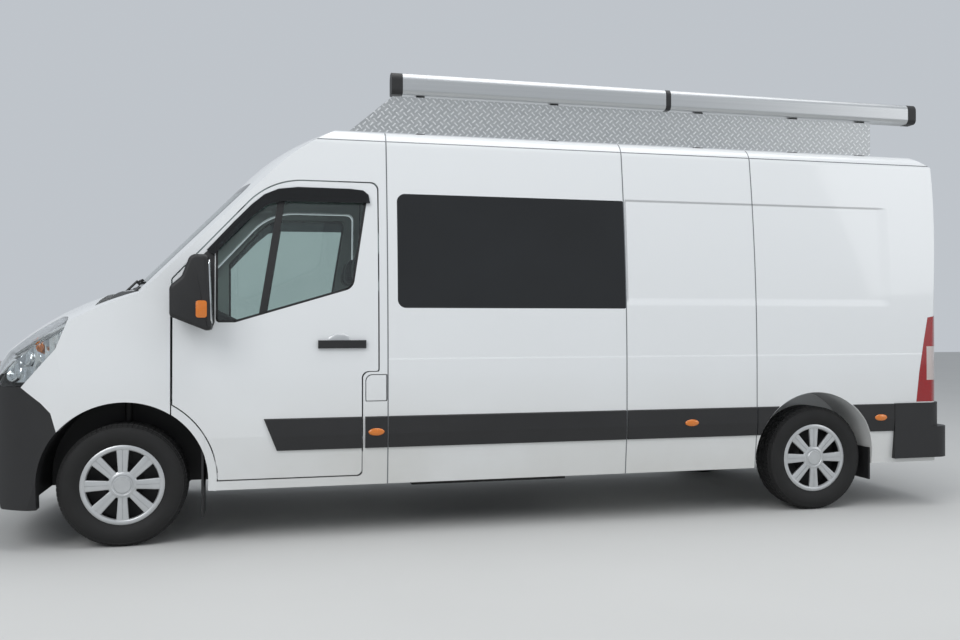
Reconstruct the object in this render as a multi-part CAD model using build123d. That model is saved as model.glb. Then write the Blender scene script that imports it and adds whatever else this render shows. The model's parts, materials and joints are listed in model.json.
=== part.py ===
from build123d import *
import os
from math import sqrt, hypot, sin, cos, tan, radians, degrees, atan2

# Long high-roofed front-drive panel van fitted out as a camper, millimetres.
# Front towards -X, left side towards -Y, ground at z = 0.

# Overall body sizes
half_width = 1036          # skin to centre line at the waist
nose_x = -3099             # foremost point of the bumper
tail_x = 3016              # rear doors' skin on the centre line
roof_z = 2490              # crown of the roof
sill_z = 300               # bottom edge of the side panels
waist_low_z, waist_high_z = 600, 900
gutter_z = 2345            # seam between side panels and roof

# Running gear
front_axle_x = -2257
rear_axle_x = 2075
wheel_y = 870              # wheel centre plane from the centre line
tyre_r, tyre_w = 345, 225
rim_r = 212                # bead seat of a 16 inch wheel
bead_y = 80                # bead from the wheel's centre plane
cover_r = 224
kingpin_y = 795
steer_deg = 35
front_arch = (-2245, 366, 448)     # x, z, radius
rear_arch = (2050, 357, 434)
front_arch_y, rear_arch_y = 560, 690       # inner faces of the arch boxes
liner_t = 12

# Wall thicknesses
wall_t, roof_t, door_t, bonnet_t, glass_t = 90, 45, 80, 30, 6
skin_t = 25                # outer step of a hinged door
gap = 8                    # shut line round a hinged panel
hinge_gap = 9              # shut line beside a hinge
step_gap = 22              # the door's inner step

# Form of the body
side_bow_r = 9500          # side panels above the waist
crown_r = 4600
shoulder_y = 836           # where the crown turns down
shoulder_z = 2310          # where the shoulder meets the side
plan_bow_r, plan_corner_r = 2600, 480
tail_bow_r = 9000
hood_x, cab_x = -499, 900  # turning axes of the bonnet and of the windscreen

# Openings and panels seen from the side
door_front_x, door_rear_x, door_low_x = -1996, -833, -930
door_top_z, door_bottom_z = 2093, 351
door_arch_r = 492
seam_xs = (-784, 714, 1615)
window_box = (-725, 711, 1342, 2028)      # x0, x1, z0, z1
slide_box = (-640, 690, 560, 2330)        # sliding door
rear_edge_y = 857
rear_low_z, rear_top_z = 560, 2306

floor_z, floor_t = 550, 60
cab_floor_z = 640


def line_box(x0, x1, y0, y1, z0, z1):
    return Pos((x0 + x1)/2, (y0 + y1)/2, (z0 + z1)/2) * Box(x1 - x0, y1 - y0, z1 - z0)


def bulged(p, q, rise):
    # arc from p to q, standing off the middle of its chord on the left hand
    n = hypot(q[0] - p[0], q[1] - p[1])
    mx = (p[0] + q[0])/2 - (q[1] - p[1])/n*rise
    mz = (p[1] + q[1])/2 + (q[0] - p[0])/n*rise
    return ThreePointArc(p, (mx, mz), q)


def outline_face(corners, plane=Plane.XZ):
    # closed outline from corners (a, b, radius)
    pts = [(c[0], c[1]) for c in corners]
    radii = [c[2] for c in corners]
    with BuildSketch(plane) as s:
        with BuildLine():
            FilletPolyline(*pts, radius=radii, close=True)
        make_face()
    return s.sketch


def side_prism(corners, y0, y1):
    # outline in x and z, drawn through from y0 to y1
    face = outline_face(corners)
    return Pos(0, y1, 0) * extrude(face, y1 - y0)


def polygon(points, plane=Plane.XZ):
    with BuildSketch(plane) as s:
        with BuildLine():
            Polyline(*points, close=True)
        make_face()
    return s.sketch


def poly_prism(points, y0, y1):
    return Pos(0, y1, 0) * extrude(polygon(points), y1 - y0)


def turned_y(points, x, y, z):
    # profile of (radius, y) points turned about a line along Y
    body = revolve(polygon(points, Plane.XY), Axis.Y)
    return Pos(x, y, z) * body


def rod_y(x, z, r, y0, y1):
    return Pos(x, (y0 + y1)/2, z) * Rot(90, 0, 0) * Cylinder(r, y1 - y0)


def rod_z(x, y, r, z0, z1):
    return Pos(x, y, (z0 + z1)/2) * Cylinder(r, z1 - z0)


def biggest(part):
    return max(part.solids(), key=lambda solid: solid.volume)


def flip(part):
    return mirror(part, about=Plane.XZ)


def both_sides(part):
    return Compound([part, flip(part)])


def side_y(z, t=0):
    # outside of the side skin at a height
    w = half_width - t
    if z <= waist_high_z:
        return w
    r = side_bow_r - t
    return w - (r - sqrt(r*r - (z - waist_high_z)**2))


# The body's form, t inside its skin
def section_form(t):
    w, z = half_width - t, roof_z - t
    r = crown_r - t
    zs = z - (r - sqrt(r*r - shoulder_y**2))
    top = shoulder_z - t/2
    yt, mid = side_y(top, t), (side_y(1600, t), 1600)
    foot = 50
    with BuildSketch(Plane.YZ) as s:
        with BuildLine():
            c = ThreePointArc((-shoulder_y, zs), (0, z), (shoulder_y, zs))
            TangentArc((shoulder_y, zs), (yt, top), tangent=c % 1)
            ThreePointArc((yt, top), mid, (w, waist_high_z))
            Polyline((w, waist_high_z), (w, waist_low_z), (w - foot, 150), (-w + foot, 150),
                     (-w, waist_low_z), (-w, waist_high_z))
            ThreePointArc((-w, waist_high_z), (-mid[0], mid[1]), (-yt, top))
            back = Vector(-(c % 1).X, (c % 1).Y)
            TangentArc((-shoulder_y, zs), (-yt, top), tangent=back)
        make_face()
    return extrude(s.sketch, 3300, both=True)


def plan_form(t):
    wide, low, high = 1300, 100, 2700
    bow, r, w = plan_bow_r - t, plan_corner_r - t, half_width - t
    yc = w - r
    cx = nose_x + plan_bow_r
    xc = cx - sqrt((bow - r)**2 - yc**2)
    k = bow/(bow - r)
    bx, by = cx + (xc - cx)*k, yc*k
    ax, ay = (bx + xc)/2 - xc, (by + w)/2 - yc
    m = (xc + ax*r/hypot(ax, ay), yc + ay*r/hypot(ax, ay))
    ex = tail_x - t
    with BuildSketch(Plane.XY.offset(low)) as s:
        with BuildLine():
            ThreePointArc((bx, -by), (cx - bow, 0), (bx, by))
            ThreePointArc((bx, by), m, (xc, w))
            Polyline((xc, w), (xc, wide), (ex - 90, wide), (ex - 90, w + 2))
            ThreePointArc((ex - 90, w + 2), (ex - 34, w - 36), (ex - 12, w - 120))
            ThreePointArc((ex - 12, w - 120), (ex, 0), (ex - 12, -w + 120))
            ThreePointArc((ex - 12, -w + 120), (ex - 34, -w + 36), (ex - 90, -w - 2))
            Polyline((ex - 90, -w - 2), (ex - 90, -wide), (xc, -wide), (xc, -w))
            ThreePointArc((xc, -w), (m[0], -m[1]), (bx, -by))
        make_face()
    return extrude(s.sketch, high - low)


def hood_form(t):
    # nose and bonnet, turned about an upright line
    top = 1520
    with BuildSketch(Plane.XZ) as s:
        with BuildLine():
            Line((-3040 + t, 200), (-3095 + t, 430))
            bulged((-3095 + t, 430), (-3085 + t, 850), 6)
            bulged((-3085 + t, 850), (-2990 + t, 1090 - t/2), 14)
            bulged((-2990 + t, 1090 - t/2), (-2300 + t, 1468 - t), 52)
            Polyline((-2300 + t, 1468 - t), (hood_x, top - t), (hood_x, 200), (-3040 + t, 200))
        make_face()
    return revolve(s.sketch, Axis((hood_x, 0, 0), (0, 0, 1)), 360)


def cabin_form(t):
    # windscreen and front of the roof, turned about an upright line
    slope = hypot(714, 740)
    dx, dz = 740/slope*t, -714/slope*t
    with BuildSketch(Plane.XZ) as s:
        with BuildLine():
            Line((-2330 + dx, 1420 + dz), (-1616 + dx, 2160 + dz))
            TangentArc((-1616 + dx, 2160 + dz), (-900, 2500 - t), tangent=(714, 740))
            Polyline((-900, 2500 - t), (-700, 2520 - t), (cab_x, 2520 - t), (cab_x, 180),
                     (-2330 + dx, 180), (-2330 + dx, 1420 + dz))
        make_face()
    return revolve(s.sketch, Axis((cab_x, 0, 0), (0, 0, 1)), 360)


def tail_form(t):
    with BuildSketch(Plane.XZ) as s:
        with BuildLine():
            Line((-100, 50), (tail_x + 20 - t, 50))
            Line((tail_x + 20 - t, 50), (tail_x + 1 - t, 1080))
            bulged((tail_x + 1 - t, 1080), (2950 - t, 2090), 14)
            bulged((2950 - t, 2090), (2700 - t, 2430 - t), 50)
            Polyline((2700 - t, 2430 - t), (2400, 2600 - t), (-100, 2600 - t), (-100, 50))
        make_face()
    return extrude(s.sketch, 1300, both=True)


def body_form(t):
    return (hood_form(t) + cabin_form(t) + tail_form(t)) & plan_form(t) & section_form(t)


outer = body_form(0)
depths = (glass_t, 2*glass_t, skin_t, bonnet_t, roof_t, wall_t, door_t)
inner = {t: body_form(t) for t in depths}


def shell(t0, t1):
    # layer of the body's form between two depths
    return (outer if t0 == 0 else inner[t0]) - inner[t1]


wall, roof_wall, bonnet_wall = shell(0, wall_t), shell(0, roof_t), shell(0, bonnet_t)
far = 1300
pieces = {}


def add(name, part):
    pieces[name] = part


def left_only(part):
    return part & line_box(-3300, 3300, -far, 0, 0, 3000)


# Outlines seen from the side: corners of x, z, radius
def door_corners(d):
    # cab door, d inside its opening
    f, r, l = door_front_x, door_rear_x, door_low_x
    t, b = door_top_z, door_bottom_z
    return [(f + d, 1503 - 0.45*d, 30), (-1455 + 0.45*d, t - d, 420), (r - d, t - d, 45),
            (r - d, 965 + 0.6*d, 12), (l - d, 965 + 0.6*d, 40), (l - d, b + d, 30), (f + d, b + d, 30)]


door_glass_corners = [(-1757, 1256, 22), (-1757, 1700, 15), (-1460, 2037, 240), (-893, 2041, 35),
                      (-985, 1457, 70), (-1651, 1256, 45)]


def door_region(d, grow=0):
    arch = rod_y(front_arch[0], front_arch[1], door_arch_r + d, -far, -600)
    return side_prism(door_corners(d), -far, -600) - arch


def arch_cut(arch, inner_y, extra=0):
    x, z, r = arch
    hole = rod_y(x, z, r + extra, -far, -inner_y)
    return hole + line_box(x - r - extra, x + r + extra, -far, -inner_y, 0, z)


front_cut = arch_cut(front_arch, front_arch_y)
rear_cut = arch_cut(rear_arch, rear_arch_y)
windscreen_yz = [(-905, 1432, 60), (905, 1432, 60), (818, 2088, 80), (-818, 2088, 80)]
screen_prism = Pos(-1900, 0, 0) * extrude(outline_face(windscreen_yz, Plane.YZ), 560, both=True)
screen_prism = screen_prism & poly_prism([(-2320, 1447), (-2320, 1500), (-1700, 2100), (-1400, 2100), (-1400, 1447)],
                                        -far, far)
bonnet_plan = [(-3060, -640), (-2405, -800), (-2405, 800), (-3060, 640)]
bonnet_prism = Pos(0, 0, 1010) * extrude(polygon(bonnet_plan, Plane.XY), 600)
bonnet_gap_prism = Pos(0, 0, 1005) * extrude(offset(polygon(bonnet_plan, Plane.XY), gap), 700)

# Roof with its front cap and the header over the rear doors
roof_region = poly_prism([(-1800, 2088), (-1560, 2088), (-1300, gutter_z), (3200, gutter_z), (3200, 2700),
                          (-1800, 2700)], -far, far)
header = wall & line_box(2600, 3200, -rear_edge_y, rear_edge_y, rear_top_z, gutter_z)
add("roof_panel", (roof_wall & roof_region) + header)

# Side walls behind the cab, left with a bonded window, right with the sliding door
wall_region = line_box(seam_xs[0], 3200, -far, -rear_edge_y, sill_z, gutter_z)
lamp_back = [(3100, 712), (2812, 712), (2836, 916), (2875, 1136), (2907, 1288), (3100, 1325)]
tail_lamp_region = poly_prism(lamp_back, -far, -rear_edge_y)
tail_lamp = shell(0, bonnet_t) & tail_lamp_region
side_blank = (wall & wall_region) - rear_cut - tail_lamp
x0, x1, z0, z1 = window_box
window_corners = [(x0, z0, 50), (x0, z1, 50), (x1, z1, 10), (x1, z0, 10)]
hole_corners = [(x0 + 40, z0 + 40, 60), (x0 + 40, z1 - 40, 60), (x1 - 40, z1 - 40, 60), (x1 - 40, z0 + 40, 60)]
window_region = side_prism(window_corners, -far, -800)
window_hole = side_prism(hole_corners, -far, -800)
glass_shell = shell(0, glass_t)
side_window = glass_shell & window_region
add("side_wall_left", side_blank - side_window - window_hole)
sx0, sx1, sz0, sz1 = slide_box
slide_region = line_box(sx0, sx1, -far, -800, sz0, sz1)
slide_inset = line_box(sx0 + gap, sx1 - gap, -far, -800, sz0 + gap, sz1 - gap)
slide_corners = [(sx0 + 70, z0, 50), (sx0 + 70, z1, 50), (sx1 - 70, z1, 50), (sx1 - 70, z0, 50)]
slide_window = glass_shell & side_prism(slide_corners, -far, -800)
slide_hole = line_box(sx0 + 110, sx1 - 110, -far, -800, z0 + 40, z1 - 40)
add("side_wall_right", flip(side_blank - slide_region))
add("sliding_door_right", flip((wall & slide_inset) - slide_window - slide_hole))
add("side_windows", Compound([side_window, flip(slide_window)]))
add("tail_lamps", both_sides(tail_lamp))

# Cab frame: pillars, cant rails and sills round the two doors
cab_region = poly_prism([(-2330, 1440), (-2330, 2088), (-1560, 2088), (-1300, gutter_z), (seam_xs[0], gutter_z),
                         (seam_xs[0], sill_z), (-1814, sill_z), (-1814, 800), (door_front_x, 800),
                         (door_front_x, 1440)], -far, -600)
cab_half = (wall & cab_region) - front_cut - door_region(0) - screen_prism
flap_x0, flap_x1, flap_z0, flap_z1 = -912, -795, 796, 946
flap_corners = [(flap_x0, flap_z0, 6), (flap_x0, flap_z1, 38), (flap_x1, flap_z1, 6), (flap_x1, flap_z0, 6)]
pocket_corners = [(flap_x0 - 5, flap_z0 - 5, 8), (flap_x0 - 5, flap_z1 + 5, 40), (flap_x1 + 7, flap_z1 + 5, 8),
                  (flap_x1 + 7, flap_z0 - 5, 8)]
pocket = shell(0, roof_t) & side_prism(pocket_corners, -far, -800)
add("fuel_flap", shell(0, 2*glass_t) & side_prism(flap_corners, -far, -800))
add("cab_frames", Compound([cab_half - pocket, flip(cab_half)]))

# Wings, headlamps, bonnet and windscreen
bumper_back = [(-2777, 905), (-2664, 816), (-2614, 761), (-2570, 600), (-2570, 200)]
wing_region = poly_prism([(-3200, 905)] + bumper_back + [(-1900, 200), (-1814, 600), (-1814, 800),
                         (door_front_x, 800), (door_front_x, 1440), (-2330, 1440), (-2330, 1500), (-3200, 1500)],
                         -far, -300)
lamp_corners = [(-3100, 1010, 30), (-2800, 870, 30), (-2590, 1110, 40), (-2520, 1290, 30), (-2760, 1290, 40),
                (-3100, 1130, 60)]
lamp_region = side_prism(lamp_corners, -far, -660)
cowl_box = line_box(-2405, -2050, -930, 930, 1290, 1500)
wing = (wall & wing_region) - front_cut - bonnet_gap_prism - lamp_region - cowl_box
wing = biggest(wing & line_box(-3200, door_front_x - 4, -far, -640, 200, 1500))
add("front_wings", both_sides(wing))
lamp = shell(0, bonnet_t) & lamp_region & line_box(-3200, -2400, -far, -640, 905, 1300)
add("headlamps", both_sides(lamp - bonnet_gap_prism))
bonnet_zone = line_box(-3200, -2405, -far, far, 1016, 1500)
add("bonnet", bonnet_wall & bonnet_prism & bonnet_zone)
screen = glass_shell & screen_prism
add("windscreen", screen)
cowl = (roof_wall & line_box(-2335, -2050, -922, 922, 1300, 1450)) - screen_prism - cab_half - flip(cab_half)
add("cowl", cowl)

# Bumpers and grille
bumper_region = poly_prism([(-3200, 230), (-3200, 905)] + bumper_back[:-1] + [(-2570, 230)], -far, far)
grille_mouth = line_box(-3200, -2900, -620, 620, 560, 700)
lower_mouth = line_box(-3200, -2900, -520, 520, 330, 430)
nose_strip = line_box(-3200, -2800, -640, 640, 905, 1010)
bumper = (wall & bumper_region) - front_cut - flip(front_cut) - grille_mouth - lower_mouth
add("front_bumper", bumper)
bars = [nose_strip]
for z in (588, 616, 644, 672):
    bars.append(line_box(-3200, -2900, -620, 620, z - 5, z + 5))
for z in (355, 380, 405):
    bars.append(line_box(-3200, -2900, -520, 520, z - 5, z + 5))
layer = shell(2*glass_t, roof_t)
add("grille", Compound([s for b in bars for s in (layer & b).solids()]))

bumper_x0, bumper_y = 2640, half_width + 10


def bumper_step(x1, z0, z1):
    with BuildSketch(Plane.XY) as sk:
        with BuildLine():
            FilletPolyline((bumper_x0, -bumper_y), (x1 - 8, -bumper_y), (x1, 0), (x1 - 8, bumper_y),
                           (bumper_x0, bumper_y), radius=[1, 115, 3000, 115, 1], close=True)
        make_face()
    return Pos(0, 0, z0) * extrude(sk.sketch, z1 - z0)


step_z, step_low, step_high = 540, 330, 705
rear_bumper = bumper_step(3099, step_low, step_z) + bumper_step(tail_x + 18, step_z, step_high) - outer
rear_bumper = rear_bumper - line_box(2900, 3200, -rear_edge_y - 30, rear_edge_y + 30, step_z, 800)
add("rear_bumper", rear_bumper)

# Mouldings, marker lamps and mud flaps
mould_y = -half_width
mould_yz = [(mould_y, 703), (mould_y - 9, 697), (mould_y - 11, 600), (mould_y - 2, 518), (mould_y + 9.1, 518),
            (mould_y, 600)]


def moulding(a, b):
    return Pos(a, 0, 0) * extrude(polygon(mould_yz, Plane.YZ), b - a)


body_mouldings = [moulding(a, b) for a, b in ((-918, -788), (-780, 708), (718, 1610))]
body_mouldings.append(moulding(1618, 2800) - rod_y(rear_arch[0], rear_arch[1], rear_arch[2] + 6, -far, 0)
                      - line_box(2636, 2900, -far, 0, 400, 800))
parts_list = [m for p in body_mouldings for m in p.solids()]
add("side_mouldings", Compound(parts_list + [flip(m) for m in parts_list]))

# Floor with bulkhead and arch boxes
floor_line = [(2941, 490), (2941, 550), (-740, 550), (-740, 640), (-1880, 640), (-2050, 740), (-2150, 1300),
              (-2200, 1300), (-2100, 720), (-1900, 580), (-800, 580), (-800, 490)]
floor = inner[wall_t] & poly_prism(floor_line, -far, far)
front_box = arch_cut(front_arch, front_arch_y - liner_t, liner_t)
rear_box = arch_cut(rear_arch, rear_arch_y - liner_t, liner_t)
side_limit = line_box(-3000, 3100, -half_width + 106, 0, sill_z, 900)
floor = floor - front_box - flip(front_box) - rear_box - flip(rear_box)
rear_shell = biggest(((rear_box - rear_cut) & line_box(1000, 3000, -half_width + 76, 0, 400, 900)) - wall)
front_shell = biggest(((front_box - front_cut) & side_limit) - wall)
floor = floor + rear_shell + flip(rear_shell)
floor = floor + (wall & line_box(2700, 3200, -rear_edge_y, rear_edge_y, 480, rear_low_z))
add("floor_pan", floor)
flap_y = (-half_width + 46, -wheel_y + 110)
front_flap = line_box(-1836, -1824, *flap_y, 150, 545) & front_cut
rear_flap = line_box(2470, 2482, *flap_y, 190, 405) & rear_cut
add("arch_liners", both_sides(front_shell + front_flap))
add("rear_mud_flaps", both_sides(rear_flap))

# Front doors
door_windows = side_prism(door_glass_corners, -far, -600)
door_skin = shell(0, skin_t) & door_region(gap)
door_inner = shell(skin_t, door_t) & door_region(step_gap)
hinge_strip = line_box(-2100, door_front_x + hinge_gap, -far, 0, 0, 3000)
door = (door_skin + door_inner) - door_windows - hinge_strip
door = door - rod_y(front_arch[0], front_arch[1], door_arch_r + hinge_gap, -far, 0)
door_glass = (inner[glass_t] - inner[2*glass_t]) & door_windows
mirror_y = half_width + 59
mirror_head = side_prism([(-1988, 1290, 25), (-1988, 1455, 40), (-1925, 1510, 40), (-1880, 1631, 45), (-1783, 1631, 30),
                          (-1768, 1212, 20), (-1800, 1212, 30)], -mirror_y - 145, -mirror_y)
arm = poly_prism([(-1940, 1300), (-1790, 1300), (-1780, 1420), (-1860, 1420)], -mirror_y, -half_width + 24)
door_mould = moulding(-1494, door_low_x - gap)
handle = line_box(-1189, -913, -half_width - 16, -half_width + 1.5, 1105, 1152)
for side, turn in (("left", lambda p: p), ("right", flip)):
    add("front_door_" + side, turn(door))
    add("door_glass_" + side, turn(door_glass))
    add("door_trim_" + side, turn(Compound([(mirror_head + arm) - outer, door_mould, handle - outer])))

visor_corners = [(-1800, 1664, 8), (-1464, 2012, 240), (-1240, 2038, 240), (-900, 2036, 20), (-905, 1962, 10),
                 (-1440, 1958, 160), (-1700, 1750, 20)]

# Rear doors
rear_half = shell(0, door_t) & line_box(2600, 3200, -rear_edge_y + gap, -gap/2, rear_low_z + gap, rear_top_z - gap)
rear_pane = line_box(2600, 3200, -rear_edge_y + 130, -110, 1430, 2000)
rear_glass = glass_shell & rear_pane
rear_hole = line_box(2600, 3200, -rear_edge_y + 170, -150, 1470, 1960)
hinge_zs = (760, 1590, 2120)
for side, turn in (("left", lambda p: p), ("right", flip)):
    add("rear_door_" + side, turn(rear_half - rear_glass - rear_hole))
    add("rear_window_" + side, turn(rear_glass))

# Wheels
def wheel_set(x, y, out):
    # out is -1 on the left, +1 on the right; local y runs outwards
    w, b = tyre_w/2, bead_y
    side = [(rim_r, b), (rim_r + 14, b + 6), (rim_r + 34, w - 8), (285, w), (tyre_r - 28, w - 8),
            (tyre_r - 8, w - 22), (tyre_r, w - 38)]
    tyre = side + [(r, -a) for r, a in reversed(side)]
    rim = [(31, 0), (31, 14), (80, 14), (110, -10), (rim_r - 12, -4), (rim_r - 12, b), (rim_r, b), (rim_r, -b),
           (rim_r - 12, -b), (rim_r - 12, -16), (100, -22), (70, 0)]
    cover = [(0, b - 2), (44, b - 4), (60, b - 14), (188, b - 6), (199, b), (rim_r, b), (221, b + 4.5),
             (cover_r, b + 8), (216, b + 12), (198, b + 13), (72, b), (50, b + 10), (0, b + 13)]
    made = []
    for profile in (tyre, rim, cover):
        pts = [(r, out*a) for r, a in profile]
        made.append(turned_y(pts, x, y, tyre_r))
    return made


wheel_places = (("front_left", front_axle_x, -1), ("front_right", front_axle_x, 1), ("rear_left", rear_axle_x, -1),
                ("rear_right", rear_axle_x, 1))
for name, x, out in wheel_places:
    tyre, rim, cover = wheel_set(x, out*wheel_y, out)
    add("tyre_" + name, tyre)
    add("rim_" + name, rim)
    add("cover_" + name, cover)

# Knuckles and suspension
stub_r = 30.5
for side, out in (("left", -1), ("right", 1)):
    ky = out*kingpin_y
    upright = line_box(front_axle_x - 45, front_axle_x + 45, ky - 30, ky + 30, tyre_r - 110, tyre_r + 130)
    reach = sorted((ky, out*(wheel_y + 33)))
    spindle = rod_y(front_axle_x, tyre_r, stub_r, *reach)
    disc = rod_y(front_axle_x, tyre_r, 130, *sorted((out*(kingpin_y + 30), out*(kingpin_y + 50))))
    add("knuckle_" + side, (upright & rod_y(front_axle_x, tyre_r + 10, 125, -1000, 1000)) + spindle + disc)
sub = line_box(-2420, -2120, -480, 480, 210, 290)
wishbone = Pos(0, 0, 215) * extrude(polygon([(-2400, -478), (-2283, -690), (-2231, -690), (-2120, -478)], Plane.XY), 30)
sub = sub + wishbone + flip(wishbone)
sub = sub + line_box(-2180, -2120, -420, 420, 290, 600)
strut = rod_z(front_axle_x, -kingpin_y + 105, 22, 520, 900) & front_cut
add("front_subframe", Compound([sub, strut, flip(strut)]))
add("engine_block", line_box(-2940, -2430, -400, 400, 330, 980))
beam = rod_y(rear_axle_x, 300, 40, -760, 760)
stubs = rod_y(rear_axle_x, tyre_r, stub_r, -wheel_y - 33, -700)
hub = line_box(rear_axle_x - 50, rear_axle_x + 50, -775, -735, 250, 400)
with BuildSketch(Plane.XZ) as sk:
    with BuildLine():
        bulged((1435, 450), (2715, 450), -110)
        Line((2715, 450), (2715, 462))
        bulged((2715, 462), (1435, 462), 110)
        Line((1435, 462), (1435, 450))
    make_face()
spring = Pos(0, -525, 0) * extrude(sk.sketch, 60)
spring = spring + line_box(1410, 1450, -585, -525, 440, 490) + line_box(2700, 2740, -585, -525, 440, 490)
add("rear_axle", beam + stubs + flip(stubs) + hub + flip(hub) + spring + flip(spring))
add("fuel_tank", line_box(-600, 400, -720, -160, 240, 490))
add("spare_wheel", rod_z(2590, 0, 340, 270, 480) + rod_z(2590, 0, 40, 480, 490))
exhaust = Pos(0, 520, 330) * Rot(0, 90, 0) * Cylinder(28, 3300)
exhaust = exhaust + Pos(300, 520, 330) * Rot(0, 90, 0) * Cylinder(85, 620)
hangers = [line_box(x - 10, x + 10, 512, 528, 340, 490) for x in (-1200, 1100)]
exhaust = exhaust & line_box(-1640, 1380, 0, 900, 0, 600)
for h in hangers:
    exhaust = exhaust + h
add("exhaust", exhaust)

# Cab fittings
dash = poly_prism([(-2145, 1300), (-1900, 1320), (-1850, 1240), (-1900, 1000), (-2080, 900), (-2085, 1000)], -930, 930)
dash = (dash & inner[wall_t]) - floor
seat_side = [(-1620, 920, 40), (-1180, 880, 40), (-1040, 1480, 60), (-1010, 1700, 30), (-910, 1700, 30),
             (-930, 1480, 60), (-1080, 760, 30), (-1640, 780, 40)]
seats = []
for a, b in ((-690, -190), (60, 760)):
    cushion = side_prism(seat_side, a, b)
    base = line_box(-1560, -1150, a + 40, b - 40, 640, 800)
    seats.append(cushion + base)
add("seats", Compound(seats))
wheel_centre, wheel_tilt = (-1740, -430, 1300), 28
ring = Torus(185, 15)
boss = Pos(0, 0, -20) * Cylinder(60, 40)
spokes = line_box(-180, 180, -18, 18, -12, 4) + line_box(-18, 18, -180, 0, -12, 4)
column = Pos(0, 0, -160) * Cylinder(28, 230)
wheel_place = Pos(*wheel_centre) * Rot(0, wheel_tilt, 0)
add("steering_wheel", wheel_place * (ring + boss + spokes))
add("dashboard", dash + wheel_place * column)

# Awnings on the left edge of the roof
awning_y = -800
case_corners = [(-860, 2652, 30), (-860, 2788, 45), (-745, 2788, 45), (-745, 2652, 20)]
case_face = outline_face(case_corners, Plane.YZ)
awnings = [Pos(a, 0, 0) * extrude(case_face, b - a) for a, b in ((-673, 1052), (1088, 2875))]
caps = [Pos(a, 0, 0) * extrude(case_face, b - a) for a, b in ((-741, -673), (1052, 1088), (2875, 2940))]
add("awnings", Compound(awnings))
skirt_y = -834
skirt = poly_prism([(-992, 2418), (-732, 2642), (2589, 2642), (2589, 2418)], skirt_y, skirt_y + 4)
add("roof_skirt", skirt - outer)
brackets = []
for x in (-560, 300, 1300, 2000, 2520):
    post = line_box(x - 25, x + 25, skirt_y + 4, skirt_y + 54, 2380, 2652) - outer
    brackets.append(post)
add("awning_fittings", Compound(caps + brackets))


os.makedirs("parts", exist_ok=True)
for name, part in pieces.items():
    export_step(part, "parts/" + name + ".step")
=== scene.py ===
import bpy
import json
import math
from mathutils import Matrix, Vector


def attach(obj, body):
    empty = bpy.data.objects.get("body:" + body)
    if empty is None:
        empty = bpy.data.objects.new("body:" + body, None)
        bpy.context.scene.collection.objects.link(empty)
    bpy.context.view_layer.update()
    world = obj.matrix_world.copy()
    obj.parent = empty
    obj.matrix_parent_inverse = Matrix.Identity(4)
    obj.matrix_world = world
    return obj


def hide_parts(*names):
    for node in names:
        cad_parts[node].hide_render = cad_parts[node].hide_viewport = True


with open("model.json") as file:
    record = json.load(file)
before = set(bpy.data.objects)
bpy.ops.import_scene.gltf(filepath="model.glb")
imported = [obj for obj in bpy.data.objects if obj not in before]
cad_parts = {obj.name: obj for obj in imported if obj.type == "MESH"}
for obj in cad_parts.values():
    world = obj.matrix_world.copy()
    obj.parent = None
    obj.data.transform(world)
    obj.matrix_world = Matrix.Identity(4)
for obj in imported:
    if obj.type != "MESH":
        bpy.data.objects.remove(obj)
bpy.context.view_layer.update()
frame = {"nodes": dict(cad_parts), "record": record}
nodes = frame["nodes"]
bpy.ops.object.select_all(action="DESELECT")
print("stage: frame loaded,", len(nodes), "nodes")


def linearColour(hexText):
    # sRGB hex to the linear colour that a shader socket takes
    values = [int(hexText[i:i + 2], 16) / 255 for i in (1, 3, 5)]
    return tuple(v / 12.92 if v <= 0.04045 else ((v + 0.055) / 1.055) ** 2.4 for v in values) + (1.0,)


def colourRange(first, last):
    # settings of a Mix node that goes from one sRGB colour to another
    return {"data_type": "RGBA", 6: linearColour(first), 7: linearColour(last)}


def addNode(tree, kind, settings=None, links=None):
    # one node, with its settings by socket or property name, and the outputs linked into it
    made = tree.nodes.new("ShaderNode" + kind)
    for name, value in (settings or {}).items():
        if isinstance(name, str) and hasattr(made, name):
            setattr(made, name, value)
        else:
            made.inputs[name].default_value = value
    for name, output in (links or {}).items():
        tree.links.new(output, made.inputs[name])
    return made


def newMaterial(name, constants):
    # material whose shader has these constant values, with the object's own coordinates in metres
    material = bpy.data.materials.new(name)
    material.use_nodes = True
    tree = material.node_tree
    tree.nodes.clear()
    shader = addNode(tree, "BsdfPrincipled", constants)
    addNode(tree, "OutputMaterial", None, {"Surface": shader.outputs[0]})
    place = addNode(tree, "TexCoord").outputs["Object"]
    return material, tree, shader.inputs, place


def linkLook(tree, shader, colour, rough=None, bump=None):
    # the last colour, roughness and bump nodes into the shader
    tree.links.new(colour.outputs[2], shader["Base Color"])
    if rough:
        tree.links.new(rough.outputs[0], shader["Roughness"])
    if bump:
        tree.links.new(bump.outputs[0], shader["Normal"])


panelLines = {  # seams and pressed lines on the sides, in metres
    "sideFrom": 0.86, "seams": (-0.784, 0.714, 1.615), "seamHalf": 0.0035, "gutter": 2.345, "gutterHalf": 0.003,
    "recess": (("X", 0.717, 0.732), ("X", 2.638, 2.538), ("Z", 1.358, 1.413), ("Z", 2.040, 2.022)),
    "crease": (1.034, 1.046), "depth": 0.0035,
}


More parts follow.
